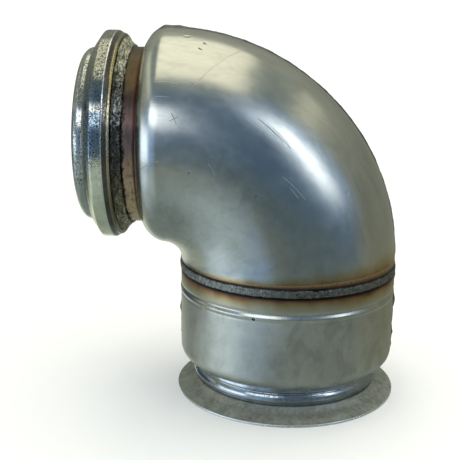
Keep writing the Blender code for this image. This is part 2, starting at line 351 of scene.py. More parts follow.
class Paint:
    """A material and the few nodes it is made with."""

    def __init__(self, name, metallic):
        self.material = bpy.data.materials.new(name)
        self.material.use_nodes = True
        self.tree = self.material.node_tree
        self.shader = self.tree.nodes["Principled BSDF"]
        self.shader.inputs["Metallic"].default_value = metallic
        where = self.node("ShaderNodeAttribute", {}, attribute_name="duct")
        self.duct = where.outputs["Vector"]
        parts = self.node("ShaderNodeSeparateXYZ", {0: self.duct})
        self.across, self.side, self.s = parts.outputs

    def node(self, kind, values, **settings):
        """A new node. Its inputs are linked to sockets, or set to plain values."""
        made = self.tree.nodes.new(kind)
        for key, value in settings.items():
            setattr(made, key, value)
        for key, value in values.items():
            if isinstance(value, bpy.types.NodeSocket):
                self.tree.links.new(value, made.inputs[key])
            else:
                made.inputs[key].default_value = value
        return made

    def math(self, operation, a, b=0.0, c=0.0, clamp=False):
        made = self.node("ShaderNodeMath", {0: a, 1: b, 2: c}, operation=operation, use_clamp=clamp)
        return made.outputs[0]

    def product(self, a, b):
        return self.math("MULTIPLY", a, b)

    def vector(self, operation, a, b, output="Vector"):
        return self.node("ShaderNodeVectorMath", {0: a, 1: b}, operation=operation).outputs[output]

    def plus(self, value, extra, weight):
        """value with weight times extra added."""
        return self.math("ADD", value, self.product(extra, weight))

    def blend(self, a, share_a, b, share_b):
        return self.plus(self.product(a, share_a), b, share_b)

    def swing(self, noise, size):
        """A noise made to swing about zero, by half of size either way."""
        return self.product(self.math("SUBTRACT", noise, 0.5), size)

    def past(self, station):
        """Metres past a station, negative before it."""
        return self.math("SUBTRACT", self.s, station * MM)

    def fade(self, start, end, to_low=0.0, to_high=1.0, soft=True):
        """A step along the duct, from one station to another."""
        return self.remap(self.s, start * MM, end * MM, to_low, to_high, soft)

    def lift(self, radius):
        """0 on the inside of the bend and 1 on its outside, at this distance from the centreline."""
        return self.remap(self.across, -radius * MM, radius * MM, soft=False)

    def stretch(self, scale, turn=(0.0, 0.0, 0.0)):
        """Duct coordinates with a scale for each axis, for noise that runs in streaks."""
        values = {"Vector": self.duct, "Scale": scale, "Rotation": turn}
        return self.node("ShaderNodeMapping", values).outputs[0]

    def noise(self, scale, detail=3.0, roughness=0.55, distortion=0.0, vector=None):
        values = {"Vector": vector or self.duct, "Scale": scale, "Detail": detail,
                  "Roughness": roughness, "Distortion": distortion}
        return self.node("ShaderNodeTexNoise", values).outputs["Fac"]

    def cells(self, scale):
        return self.node("ShaderNodeTexVoronoi", {"Vector": self.duct, "Scale": scale}).outputs["Distance"]

    def remap(self, value, low, high, to_low=0.0, to_high=1.0, soft=True):
        kind = "SMOOTHSTEP" if soft else "LINEAR"
        values = {0: value, 1: low, 2: high, 3: to_low, 4: to_high}
        return self.node("ShaderNodeMapRange", values, interpolation_type=kind).outputs[0]

    def ramp(self, value, stops):
        made = self.node("ShaderNodeValToRGB", {0: value})
        elements = made.color_ramp.elements
        while len(elements) < len(stops):
            elements.new(1.0)
        for element, (at, colour) in zip(elements, stops):
            element.position = at
            element.color = (*colour, 1.0)
        return made.outputs[0]

    def mix(self, share, a, b, kind="MIX"):
        """The Mix node's colour sockets are 6 and 7, and its colour output is 2."""
        a, b = ((*c, 1.0) if isinstance(c, tuple) else c for c in (a, b))
        values = {0: share, 6: a, 7: b}
        return self.node("ShaderNodeMix", values, data_type="RGBA", blend_type=kind).outputs[2]

    def times(self, a, b):
        return self.mix(1.0, a, b, "MULTIPLY")

    def bump(self, height, depth, normal=None):
        """depth is the height that a value of 1 stands for."""
        values = {"Height": height, "Distance": depth}
        if normal is not None:
            values["Normal"] = normal
        return self.node("ShaderNodeBump", values).outputs[0]

    def finish(self, colour, roughness, normal):
        for socket, value in (("Base Color", colour), ("Roughness", roughness), ("Normal", normal)):
            self.tree.links.new(value, self.shader.inputs[socket])
        return self.material


def hairlines(paint, turn, density, sparse):
    """A mask of fine straight scratches that run one way, in patches."""
    lines = paint.noise(1.0, 1.0, vector=paint.stretch((density, density, 26.0), turn))
    patch = paint.remap(paint.noise(sparse, 2.0), 0.55, 0.70, 0.0, 0.7)
    return paint.product(paint.remap(lines, 0.70, 0.76), patch)


def strokes(paint, lines, width):
    """A mask of single scratches, each from (s, t in degrees) to (s, t) on the casing, in mm."""
    turn = paint.math("ARCTAN2", paint.side, paint.across)
    round_way = paint.product(turn, CASING_RADIUS * MM)
    flat = paint.node("ShaderNodeCombineXYZ", {0: paint.s, 1: round_way}).outputs[0]
    total = None
    for start, end in lines:
        a, b = (Vector((s, math.radians(t) * CASING_RADIUS, 0.0)) * MM for s, t in (start, end))
        way = b - a
        from_a = paint.vector("SUBTRACT", flat, a)
        share = paint.vector("DOT_PRODUCT", from_a, way / way.length_squared, "Value")
        share = paint.math("ADD", share, 0.0, clamp=True)
        foot = paint.node("ShaderNodeVectorMath", {0: way, "Scale": share}, operation="SCALE").outputs[0]
        away = paint.vector("DISTANCE", from_a, foot, "Value")
        mask = paint.remap(away, 0.35 * width * MM, width * MM, 1.0, 0.0)
        total = mask if total is None else paint.math("MAXIMUM", total, mask)
    return total


def heat_tint(paint, heat, steel):
    """Colours of heated steel: black at 0, then brown and gold, and the plain steel at 1."""
    tint = paint.ramp(heat, [
        (0.0, (0.020, 0.017, 0.017)), (0.05, (0.040, 0.026, 0.024)),
        (0.12, (0.18, 0.095, 0.050)), (0.24, (0.33, 0.215, 0.105)),
        (0.45, (0.43, 0.365, 0.225)), (0.75, (0.49, 0.47, 0.37)),
        (1.0, (0.53, 0.53, 0.48)),
    ])
    return paint.mix(paint.remap(heat, 0.45, 1.0), tint, steel)


def pressed_steel(name, tint_at, tint_side, tint_width, cloud, sheen_range, cast, stains,
                  scratches, faint=(), spots=(), dent_shade=(), polished=None):
    """Satin pressed sheet, heat tinted beside the girth weld at station tint_at.

    The tint fades over tint_width, towards the inlet where tint_side is 1 and the outlet where it
    is -1. cloud is how uneven the grey is, sheen_range its roughness, cast its hue and stains how
    strong its stains are. It is smoother between the stations polished.
    """
    paint = Paint(name, 1.0)
    broad = paint.noise(26.0, 3.0, 0.6, 0.6)
    fine = paint.noise(150.0, 4.0, 0.65, 0.3)
    speck = paint.noise(1500.0, 2.0)
    tone = paint.blend(broad, 0.65, fine, 0.35)
    steel = paint.ramp(tone, [
        (0.30, scaled(cast, 0.49 - cloud)),
        (0.52, scaled(cast, 0.54)),
        (0.72, scaled(cast, 0.60 + cloud / 2)),
    ])
    steel = paint.mix(paint.remap(speck, 0.60, 0.74, 0.0, 0.18), steel, (0.36, 0.36, 0.33))
    stain = paint.noise(1.0, 6.0, 0.68, 1.2, paint.stretch((75.0, 75.0, 50.0), (0.4, 0.2, 0.7)))
    steel = paint.mix(paint.remap(stain, 0.48, 0.66, 0.0, stains), steel, scaled(cast, 0.37))
    past = paint.past(tint_at)
    wander = paint.product(paint.swing(paint.noise(80.0, 4.0), 0.0055),
                           paint.remap(paint.math("ABSOLUTE", past), 0.0002, 0.0030))
    heat = paint.remap(paint.plus(wander, past, tint_side), 0.0, tint_width * MM, soft=False)
    colour = heat_tint(paint, heat, steel)
    mouth = paint.fade(leg(SHOULDER_END - 1.9), leg(SHOULDER_END - 0.7))
    colour = paint.mix(mouth, colour, (0.15, 0.045, 0.022))
    scratch = paint.math("MAXIMUM", hairlines(paint, (0.3, 0.9, 0.2), 2600.0, 34.0),
                         hairlines(paint, (1.2, 0.25, 0.8), 2900.0, 27.0))
    sheen = paint.plus(paint.remap(tone, 0.32, 0.70, *sheen_range), scratch, 0.10)
    sheen = paint.math("ADD", sheen, paint.remap(heat, 0.0, 0.3, 0.16, 0.0))
    if polished:
        away = paint.math("ABSOLUTE", paint.past(sum(polished) / 2))
        reach = (polished[1] - polished[0]) / 2 * MM
        sheen = paint.math("SUBTRACT", sheen, paint.remap(away, 0.7 * reach, reach, 0.15, 0.0))
    if spots:
        spot = paint.product(strokes(paint, spots, 0.8), 0.4)
        colour = paint.mix(spot, colour, (0.20, 0.12, 0.06))
    # Painted shade in the dents, as short dark strokes
    if dent_shade:
        colour = paint.mix(strokes(paint, dent_shade, 0.5), colour, (0.035, 0.035, 0.035))
    if faint:
        sheen = paint.plus(sheen, strokes(paint, faint, 0.42), 0.13)
    cut = strokes(paint, scratches, 0.32)
    colour = paint.mix(paint.product(cut, 0.22), colour, (0.12, 0.12, 0.11))
    sheen = paint.plus(sheen, cut, 0.34)
    normal = paint.bump(paint.noise(620.0, 3.0), 0.000006)
    normal = paint.bump(paint.noise(90.0, 2.0), 0.00006, normal)
    normal = paint.bump(paint.math("SUBTRACT", 1.0, scratch), 0.00002, normal)
    return paint.finish(colour, sheen, normal)


def neck_steel():
    """The bare liner: brown heat tint, purple at mid height, darker beside the welds."""
    paint = Paint("liner_heat_tint", 1.0)
    broad = paint.noise(60.0, 4.0, 0.6, 0.8)
    fine = paint.noise(420.0, 3.0)
    lift = paint.math("ADD", paint.lift(LINER_RADIUS), paint.swing(broad, 0.35))
    brown = paint.ramp(lift, [
        (0.05, (0.72, 0.55, 0.31)), (0.30, (0.70, 0.48, 0.32)),
        (0.46, (0.40, 0.27, 0.20)), (0.60, (0.17, 0.115, 0.105)),
        (0.74, (0.125, 0.085, 0.072)), (0.83, (0.135, 0.102, 0.056)),
        (0.95, (0.078, 0.062, 0.033)),
    ])
    streak = paint.noise(1.0, 3.0, 0.6, 0.4, paint.stretch((45.0, 45.0, 520.0)))
    brown = paint.mix(paint.remap(streak, 0.50, 0.66, 0.0, 0.65), brown, (0.10, 0.065, 0.05))
    brown = paint.mix(paint.remap(fine, 0.52, 0.70, 0.0, 0.5), brown, (0.09, 0.06, 0.045))
    to_weld = paint.math("SUBTRACT", (leg(FLANGE_BACK) - 4.6) * MM, paint.s)
    to_weld = paint.plus(to_weld, broad, 0.004)
    to_weld = paint.math("ADD", to_weld, paint.swing(paint.noise(230.0, 4.0, 0.65), 0.009))
    soot = paint.product(paint.remap(to_weld, 0.0024, 0.0042, 0.96, 0.0),
                         paint.remap(lift, 0.72, 0.86, 1.0, 0.35))
    brown = paint.mix(soot, brown, (0.025, 0.018, 0.018))
    rust = paint.fade(leg(SHOULDER_END) - 0.4, leg(SHOULDER_END) + 1.6, 1.0, 0.0)
    brown = paint.mix(rust, brown, (0.085, 0.020, 0.009))
    inside = paint.mix(paint.noise(45.0, 4.0), (0.30, 0.28, 0.25), (0.42, 0.40, 0.36))
    bare = paint.fade(leg(SHOULDER_END) - 8.0, leg(SHOULDER_END) - 2.0)
    normal = paint.bump(paint.noise(500.0, 3.0), 0.00003)
    return paint.finish(paint.mix(bare, inside, brown), paint.remap(broad, 0.3, 0.7, 0.30, 0.44), normal)


def weld_metal(name, light, dark, edges=None, painted_light=None, toe=None, notch=(), relief=1.0,
               gloss=0.0, glints=1700.0, streaks=0.0):
    """Dark oxidised weld with a granular skin and bright specks, and painted shade at its edge stations.

    The painted light colours multiply the colour from the inside of the bend to the outside:
    painted highlights and painted shade. Past the station toe the skin is smooth, heat-tinted
    steel. A higher glints puts the specks, which are painted glints, closer together, and streaks
    is how strongly lines run round the tube.
    """
    paint = Paint(name, 0.9)
    grain = paint.noise(1500.0, 3.0, 0.6)
    clump = paint.noise(420.0, 3.0, 0.6)
    between = tuple((a + b) / 2 for a, b in zip(light, dark))
    colour = paint.ramp(paint.blend(grain, 0.6, clump, 0.4), [(0.34, dark), (0.5, between), (0.66, light)])
    # The bright specks are painted glints
    colour = paint.mix(paint.remap(paint.cells(glints), 0.06, 0.18, 0.8, 0.0), colour, (0.66, 0.66, 0.63))
    if streaks:
        line = paint.noise(1.0, 3.0, 0.6, 0.5, paint.stretch((90.0, 90.0, 1100.0)))
        colour = paint.mix(paint.remap(line, 0.46, 0.58, 0.0, streaks), colour, dark)
        colour = paint.mix(paint.remap(line, 0.56, 0.66, 0.0, 0.5 * streaks), colour, light)
    # Painted shade of an undercut: blacker along both edge stations
    if edges:
        away = paint.math("ADD", paint.math("ABSOLUTE", paint.past(sum(edges) / 2)),
                          paint.swing(paint.noise(260.0, 3.0), 0.0014))
        reach = (edges[1] - edges[0]) / 2 * MM
        rim = paint.remap(away, reach - 0.0011, reach - 0.0003)
        colour = paint.mix(rim, colour, (0.022, 0.020, 0.020))
    # Painted light: highlights and shade multiplied in by height round the bend
    if painted_light:
        lift = paint.math("ADD", paint.lift(SHADED_RADIUS), paint.swing(clump, 0.25))
        colour = paint.times(colour, paint.ramp(lift, painted_light))
    if notch:
        colour = paint.mix(strokes(paint, notch, 0.75), colour, (0.006, 0.006, 0.006))
    roughness = paint.remap(grain, 0.3, 0.7, 0.55 - gloss, 0.34 - gloss)
    rough = paint.plus(clump, grain, 0.35)
    if toe:
        past = paint.fade(toe + 0.05, toe + 0.35)
        heat = paint.fade(toe, toe + 8.0, soft=False)
        colour = paint.mix(past, colour, heat_tint(paint, heat, (0.53, 0.53, 0.48)))
        roughness = paint.plus(roughness, past, -0.10)
        rough = paint.product(rough, paint.math("SUBTRACT", 1.0, past))
    return paint.finish(colour, roughness, paint.bump(rough, 0.00045 * relief))


def turned_steel(name, base, shade, sheen_range, pits, bands=(), painted_light=(), nose=None):
    """Bright turned metal with tool rings and small pits, as strong as pits says.

    Each band is a pair of stations and the colours painted between them, from the inside of the
    bend out: painted highlights, reflections and shade. The painted light colours multiply the
    colour at shares of the way from the inside to the outside, and nose is a station and the
    painted greys to multiply by past it instead: painted reflections and shade.
    """
    paint = Paint(name, 1.0)
    tool = paint.noise(1.0, 2.0, vector=paint.stretch((40.0, 40.0, 900.0)))
    broad = paint.noise(55.0, 4.0, 0.6, 0.4)
    colour = paint.mix(paint.remap(broad, 0.35, 0.68), base, shade)
    colour = paint.mix(paint.remap(tool, 0.55, 0.75, 0.0, 0.35), colour, scaled(base, 0.6))
    spot = paint.noise(1250.0, 3.0, 0.7, 0.5)
    patch = paint.remap(paint.noise(60.0, 3.0), 0.34, 0.58)
    pit = paint.product(paint.remap(spot, 0.515, 0.585), patch)
    pit = paint.product(pit, paint.remap(paint.across, -0.034, -0.012, 0.25 * pits, pits))
    colour = paint.mix(pit, colour, (0.05, 0.06, 0.07))
    lift = paint.lift(SHADED_RADIUS)
    # Painted reflections and shade, multiplied in by height round the bend, with the nose's own greys past
    # its station
    if painted_light:
        start, painted_greys = nose
        painted_greys = spread([(grey, grey, grey) for grey in painted_greys])
        past = paint.fade(start - 0.1, start + 0.1)
        colour = paint.times(colour, paint.mix(past, paint.ramp(lift, painted_light), paint.ramp(lift, painted_greys)))
    # Bands of colour laid over the steel; on the collar most are painted highlights, reflections and shade
    for start, end, tones in bands:
        inside = paint.product(paint.fade(start - 0.15, start + 0.15),
                               paint.fade(end - 0.15, end + 0.15, 1.0, 0.0))
        tone = paint.ramp(lift, spread(tones)) if len(tones) > 1 else tones[0]
        colour = paint.mix(inside, colour, tone)
    roughness = paint.plus(paint.remap(broad, 0.3, 0.7, *sheen_range), pit, 0.25)
    normal = paint.bump(tool, 0.00003)
    normal = paint.bump(paint.math("SUBTRACT", 1.0, pit), 0.00016, normal)
    return paint.finish(colour, roughness, normal)


def flare_steel():
    """The flared flange: dull blasted sheet with grey-green blotches, painted shade on the bend's inner
    side, and a bright rim.
    """
    paint = Paint("flare_dull_steel", 0.85)
    broad = paint.noise(70.0, 5.0, 0.65, 0.8)
    fine = paint.noise(500.0, 4.0, 0.65)
    tone = paint.blend(broad, 0.6, fine, 0.4)
    colour = paint.ramp(tone, [
        (0.32, (0.17, 0.17, 0.14)), (0.46, (0.31, 0.315, 0.28)),
        (0.60, (0.42, 0.435, 0.40)), (0.74, (0.52, 0.53, 0.49)),
    ])
    # Painted shade: darker towards the bend's inner side
    painted_shade_inner_side = paint.remap(paint.across, -0.062, -0.030, 0.22, 0.0)
    colour = paint.mix(painted_shade_inner_side, colour, (0.10, 0.10, 0.09))
    rim = paint.fade(1.1, 1.6, 1.0, 0.0)
    colour = paint.mix(rim, colour, (0.62, 0.66, 0.68))
    roughness = paint.plus(paint.remap(tone, 0.35, 0.65, 0.56, 0.40), rim, -0.24)
    return paint.finish(colour, roughness, paint.bump(fine, 0.00005))


def fibre():
    """Needled mineral fibre, for the mats between liner and casing."""
    paint = Paint("mineral_fibre_mat", 0.0)
    strand = paint.noise(1.0, 4.0, 0.7, 1.5, paint.stretch((900.0, 900.0, 160.0)))
    clump = paint.noise(120.0, 4.0)
    colour = paint.ramp(paint.blend(strand, 0.5, clump, 0.5), [
        (0.30, (0.34, 0.31, 0.23)), (0.50, (0.53, 0.50, 0.41)), (0.70, (0.68, 0.66, 0.58)),
    ])
    return paint.finish(colour, paint.remap(clump, 0.3, 0.7, 0.88, 0.98), paint.bump(strand, 0.0004))


# Pieces


def casing_outline(steps, shoulder_steps):
    """The elbow's casing from the girth weld to its mouth round the neck."""
    start = WELD_TOP + GAP
    end = leg(SHOULDER_END - SHOULDER_RADIUS)
    s = np.linspace(start, end, steps)
    r = CASING_RADIUS + (CASING_LEG_RADIUS - CASING_RADIUS) * (s - start) / (end - start)
    centre = CASING_LEG_RADIUS - SHOULDER_RADIUS
    mouth = math.asin((LINER_RADIUS + MOUTH_CLEARANCE - centre) / SHOULDER_RADIUS)
    shoulder = arc(end, centre, SHOULDER_RADIUS, 90, math.degrees(mouth), shoulder_steps)
    return np.array(list(zip(s, r)) + shoulder[1:])


def cup_outline(steps, rolled=True):
    """The cup from its mouth on the sleeve to the girth weld. Rolled, it has its bead and grooves."""
    fillet = arc(CUP_FLOOR + CUP_FILLET, CASING_RADIUS - CUP_FILLET, CUP_FILLET, 178, 90, 14)
    s = np.linspace(CUP_FLOOR + CUP_FILLET, WELD_BOTTOM - GAP, steps)[1:]
    r = CASING_RADIUS + 0.0 * s
    if rolled:
        for at, height, width in ROLLED_BEAD:
            r += height * np.exp(-((s - at) / width) ** 2)
    return np.array([(CUP_FLOOR, SLEEVE_RADIUS + 0.3)] + fillet + list(zip(s, r)))


def dents(marks):
    """A warp that makes the outside gently uneven and gives it these dents."""
    def warp(flat):
        across, side, s = flat.T
        r = np.hypot(across, side)
        t = np.arctan2(side, across)
        extra = 0.05 * waves(flat, 42.0, 5) + 0.012 * waves(flat, 9.0, 6)
        for at_s, at_t, size, depth in marks:
            away = np.hypot(s - at_s, (t - math.radians(at_t)) * r) / size
            extra = extra - depth * np.exp(-away ** 2)
            extra = extra + 0.25 * depth * np.exp(-(away - 1.5) ** 2 * 3)
        return 0.0 * r, np.where(r > CASING_LEG_RADIUS - 1.0, extra, 0.0)
    return warp


def build_casing():
    satin = pressed_steel("casing_satin_steel", WELD_CREST, 1.0, 9.0, 0.03, (0.20, 0.28),
                          (1.0, 1.01, 0.95), 0.34, ELBOW_SCRATCHES, FAINT_SCRATCHES, ELBOW_SPOTS,
                          ELBOW_DENT_SHADE)
    cup_satin = pressed_steel("cup_satin_steel", WELD_BOTTOM, -1.0, 12.5, 0.10, (0.34, 0.46),
                              (0.95, 0.94, 0.835), 0.50, CUP_SCRATCHES, polished=POLISHED)
    weld = weld_metal("seam_weld_metal", (0.20, 0.20, 0.19), (0.05, 0.05, 0.045))

    # The front halves, which the photo shows, are finer than the back ones
    for name, outer, stride, front, steps in (
            ("elbow_casing_front", casing_outline(230, 26), 3, True, 230),
            ("elbow_casing_back", casing_outline(90, 20), 1, False, 120)):
        whole = offset(outer, -SHEET)
        inner = whole[::stride].copy()
        inner[-1] = whole[-1]
        half(name, outer, inner, front, steps, satin, dents(ELBOW_DENTS))
    cup = cup_outline(110)
    cup_inner = offset(cup_outline(110, False), -SHEET)
    for name, front, steps in (("cup_casing_front", True, 220), ("cup_casing_back", False, 120)):
        made = half(name, cup, cup_inner, front, steps, cup_satin, dents(CUP_DENTS))
        if front:
            drill_vent(made, cup_satin)

    run = casing_outline(60, 12)
    cup_run = cup_outline(40, False)
    seams = [
        ("elbow_outer_seam", run, True, 0.42, ELBOW_OUTER_LUMPS),
        ("elbow_inner_seam", run, False, 0.40, ELBOW_INNER_LUMPS),
        ("cup_outer_seam", cup_run, True, 0.55, CUP_OUTER_LUMPS),
        ("cup_inner_seam", cup_run, False, 0.40, CUP_INNER_LUMPS),
    ]
    for seed, (name, outer, outside, crown, lumps) in enumerate(seams, 11):
        inner = offset(outer, CLEARANCE - SHEET)
        seam(name, outer, inner, outside, crown, 0.1, lumps, seed, weld)


def drill_vent(cup, material):
    """Cuts the vent hole through the cup's front half."""
    turn = math.radians(VENT_TURN)
    made = bmesh.new()
    bmesh.ops.create_cone(made, cap_ends=True, segments=24, radius1=VENT_RADIUS * MM,
                          radius2=VENT_RADIUS * MM, depth=VENT_CUT * MM)
    cutter = add_object("vent_cutter", made)
    reach = CASING_RADIUS * MM
    cutter.location = (OUTLET_X * MM + reach * math.cos(turn), reach * math.sin(turn), VENT_S * MM)
    cutter.rotation_euler = (0.0, math.pi / 2, turn)
    cut = cup.modifiers.new("vent", "BOOLEAN")
    cut.operation = "DIFFERENCE"
    cut.solver = "EXACT"
    cut.object = cutter
    ready = cup.evaluated_get(bpy.context.evaluated_depsgraph_get())
    drilled = bpy.data.meshes.new_from_object(ready)
    cup.modifiers.remove(cut)
    cup.data = drilled
    bpy.data.objects.remove(cutter)
    coat(drilled, material)


def build_welds():
    """The three welds that go round the tubes."""
    # The girth weld's ramp multiplies in painted light: lighter towards the bend's inside, darker across
    # its middle
    grey = weld_metal("girth_weld_metal", (0.25, 0.255, 0.235), (0.026, 0.028, 0.026),
                      (WELD_BOTTOM, WELD_CREST), [
        (0.05, (1.50, 1.55, 1.52)), (0.35, (1.18, 1.20, 1.17)),
        (0.52, (0.82, 0.82, 0.77)), (0.85, (0.98, 0.96, 0.90)),
    ], toe=WELD_CREST, notch=WELD_NOTCH)
    foot = FLANGE_BACK - CLEARANCE
    neck_end = foot - FLANGE_WELD_LENGTH
    # The flange weld's ramp multiplies in painted light: bright at the bottom and top, a painted glint
    # patch between, painted shade elsewhere
    black = weld_metal("flange_weld_metal", (0.46, 0.46, 0.42), (0.012, 0.012, 0.012),
                       (leg(neck_end), leg(foot) + 0.6), [
        (0.04, (2.30, 2.20, 1.70)), (0.25, (1.50, 1.41, 1.00)),
        (0.42, (0.55, 0.57, 0.56)), (0.63, (0.42, 0.45, 0.50)),
        (0.66, (1.90, 1.95, 2.00)), (0.72, (1.90, 1.95, 2.00)),
        (0.755, (0.50, 0.51, 0.53)), (0.80, (0.85, 0.85, 0.78)),
        (0.86, (2.20, 2.15, 1.76)), (0.97, (3.50, 3.42, 2.84)),
    ], relief=2.2, gloss=0.14, glints=1150.0, streaks=0.70)
    root_metal = weld_metal("root_weld_metal", (0.24, 0.24, 0.21), (0.03, 0.03, 0.03))
    flatten = np.array([1.0, 1.0, 0.0])

    def grains(flat):
        """The girth weld: rough on its crown, with edges that wander, and smooth on its toe."""
        outside = np.hypot(flat[:, 0], flat[:, 1]) > CASING_RADIUS - 0.2
        rough = 0.10 * waves(flat, 0.9, 21, 30) + 0.10 * waves(flat, 3.2, 22, 20)
        edge = 0.28 * waves(flat * flatten, 4.0, 23)
        middle = (WELD_BOTTOM + WELD_CREST) / 2
        share = np.clip(np.abs(flat[:, 2] - middle) / (WELD_CREST - middle), 0, 1)
        crown = np.clip((WELD_CREST - flat[:, 2]) / 0.8, 0, 1) * outside
        return edge * share * 0.4 * crown, rough * crown

    low = CASING_RADIUS - SHEET + CLEARANCE
    high = CASING_RADIUS + WELD_HEIGHT
    top = WELD_TOP - 0.04
    outline = dense(rounded([
        (WELD_BOTTOM + CLEARANCE, low), (WELD_BOTTOM + CLEARANCE, high - 0.45),
        (WELD_BOTTOM + 1.1, high), (WELD_CREST - 1.1, high),
        (WELD_CREST - 0.1, CASING_RADIUS + 0.04, 0.1), (top, CASING_RADIUS, 0.02), (top, low),
    ], 0.5), 0.55)
    turned("girth_weld_band", outline, 900, "girth_weld", grey, grains, smooth=75)

    def crust(flat):
        """The flange weld: lumpy, with a scalloped edge that creeps along the neck."""
        outside = np.hypot(flat[:, 0], flat[:, 1]) > LINER_RADIUS + 0.4
        rough = 0.26 * waves(flat, 1.4, 31, 30) + 0.34 * waves(flat, 4.0, 32, 20)
        toe = np.clip((leg(foot - 2.0) - flat[:, 2]) / 2.0, 0.0, 1.0)
        scallop = 0.20 * waves(flat * flatten, 5.0, 33)
        scallop += toe * (0.40 * waves(flat * flatten, 6.5, 34) - 0.15)
        return np.where(outside, scallop, 0.0), np.where(outside, rough, 0.0)

    bore = LINER_RADIUS + CLEARANCE
    outline = dense(rounded([
        (leg(foot), bore, 0.1), (leg(foot), WELD_FOOT_RADIUS - 0.2, 0.3),
        (leg(foot - 1.1), WELD_FOOT_RADIUS - 2.2, 0.8), (leg(foot - 3.0), LINER_RADIUS + 2.0, 0.8),
        (leg(neck_end), bore, 0.2),
    ], 0.5), 0.6)
    turned("inlet_weld_bead", outline, 700, "inlet_flange_weld", black, crust, smooth=75)

    end = LINER_END - CLEARANCE
    outline = dense(rounded([
        (end, LINER_RADIUS - SHEET), (end, LINER_RADIUS - 0.1), (end - 1.1, LINER_RADIUS + 2.0),
        (end - 1.6, LINER_RADIUS + 1.5), (end - 1.0, LINER_RADIUS - 0.8),
    ], 0.3), 0.6)
    turned("outlet_root_bead", outline, 360, "outlet_root_weld", root_metal, smooth=75)


def build_liner():
    """The gas liner, which shows as the neck outside and as the bore inside."""
    tinted = neck_steel()
    weld = weld_metal("liner_seam_metal", (0.22, 0.17, 0.13), (0.05, 0.035, 0.03))
    s = np.concatenate([[LINER_END], np.linspace(BEND_START, BEND_END, 60),
                        np.linspace(leg(SHOULDER_END - 4.0), leg(FLANGE_BACK) - GAP, 14)])
    outer = np.stack([s, np.full(len(s), LINER_RADIUS)], axis=-1)
    inner = outer - np.array([0.0, SHEET])
    half("liner_front", outer, inner, True, 110, tinted)
    half("liner_back", outer, inner, False, 110, tinted)
    seam("liner_outer_seam", outer, inner, True, 0.16, 0.45, [], 41, weld)
    seam("liner_inner_seam", outer, inner, False, 0.16, 0.45, [], 42, weld)


def build_outlet():
    """The bright two-step ring, and the flared flange that the part stands on."""
    bright = turned_steel("sleeve_turned_steel", (0.46, 0.49, 0.52), (0.31, 0.34, 0.36), (0.05, 0.13), 0.55)
    bore = LINER_RADIUS + 0.15
    steps = [(0.0, -1.3, 0.3), (1.0, -0.6, 1.0), (3.0, 0.35, 1.6), (4.8, 0.25, 1.4), (6.4, -0.45, 1.0),
             (7.2, -1.15, 0.4), (7.8, -1.15, 0.4), (8.5, 0.15, 0.5), (9.1, 0.35, 0.5)]
    outline = [(SLEEVE_BOTTOM, bore, 0.1)]
    outline += [(SLEEVE_BOTTOM + up, SLEEVE_RADIUS + out, corner) for up, out, corner in steps]
    outline += [(SLEEVE_TOP, SLEEVE_RADIUS - 0.60, 0.3), (SLEEVE_TOP, bore, 0.2)]
    outline = dense(rounded(outline, 0.4, 5), 0.6)
    turned("outlet_step_ring", outline, 256, "outlet_sleeve", bright)

    dull = flare_steel()
    top = SLEEVE_BOTTOM - CLEARANCE
    outline = dense(rounded([
        (0.0, FLARE_BORE, 0.3), (0.0, FLANGE_RADIUS - 0.1, 0.45), (1.35, FLANGE_RADIUS, 0.5),
        (1.75, FLANGE_RADIUS - 1.2, 1.0), (5.2, FLARE_BORE + 0.9, 2.0), (top, SLEEVE_RADIUS - 0.7, 0.5),
        (top, bore, 0.2), (LINER_END - 0.2, bore, 0.3),
    ], 0.4, 5), 1.2)

    def beaten(flat):
        r = np.hypot(flat[:, 0], flat[:, 1])
        upper = (flat[:, 2] > 1.6) & (r > SLEEVE_RADIUS)
        return 0.0 * r, np.where(upper, 0.05 * waves(flat, 16.0, 51), 0.0)

    turned("outlet_flare", outline, 256, "outlet_flange", dull, beaten)


